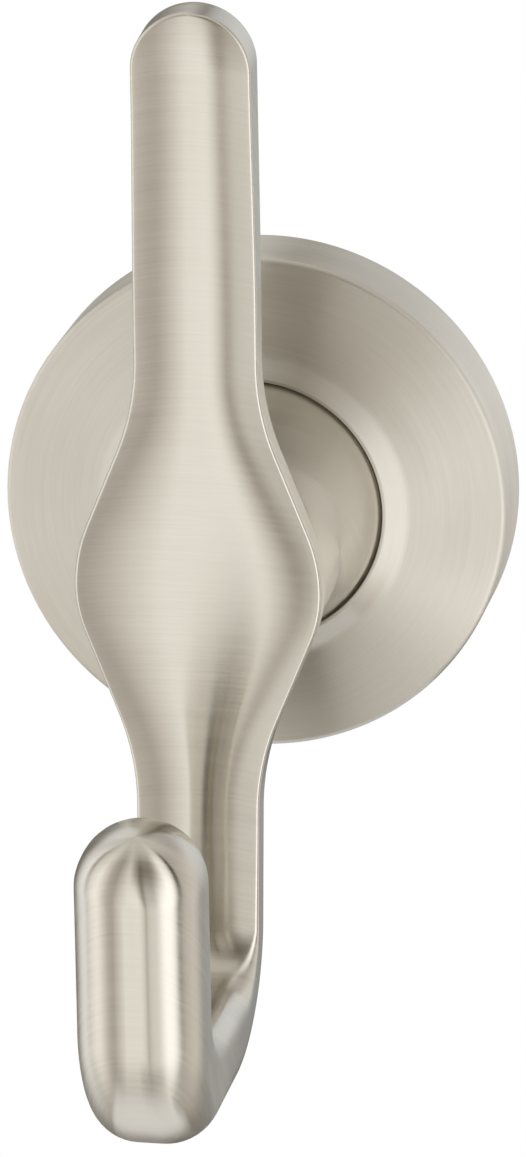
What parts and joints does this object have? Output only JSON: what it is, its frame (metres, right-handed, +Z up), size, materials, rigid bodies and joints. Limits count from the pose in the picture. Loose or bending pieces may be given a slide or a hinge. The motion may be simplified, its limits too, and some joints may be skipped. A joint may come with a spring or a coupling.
{
  "type": "double robe hook",
  "caption": "Wall-mounted double robe hook: a long flat upper prong and an upturned rounded lower finger, on a flared post with a round hollow flange.",
  "frame": {"origin": "centre of the round flange, on the wall plane", "axes": "+Z up along the strap, +Y into the wall, +X to the right as seen from the front; the hook stands out towards -Y"},
  "size_m": [0.055, 0.0827, 0.1152],
  "materials": {
    "hook_nickel": "satin nickel plate, brushed across the strap",
    "flange_nickel": "satin nickel plate, brushed in circles",
    "bracket_zinc": "dull zinc plate",
    "screw_steel": "plain steel"
  },
  "bodies": {
    "root": {"hook": "hook_nickel", "flange": "flange_nickel", "wall_bracket": "bracket_zinc", "set_screw": "screw_steel", "post_screw": "screw_steel", "post_washer": "screw_steel"}
  },
  "joints": []
}
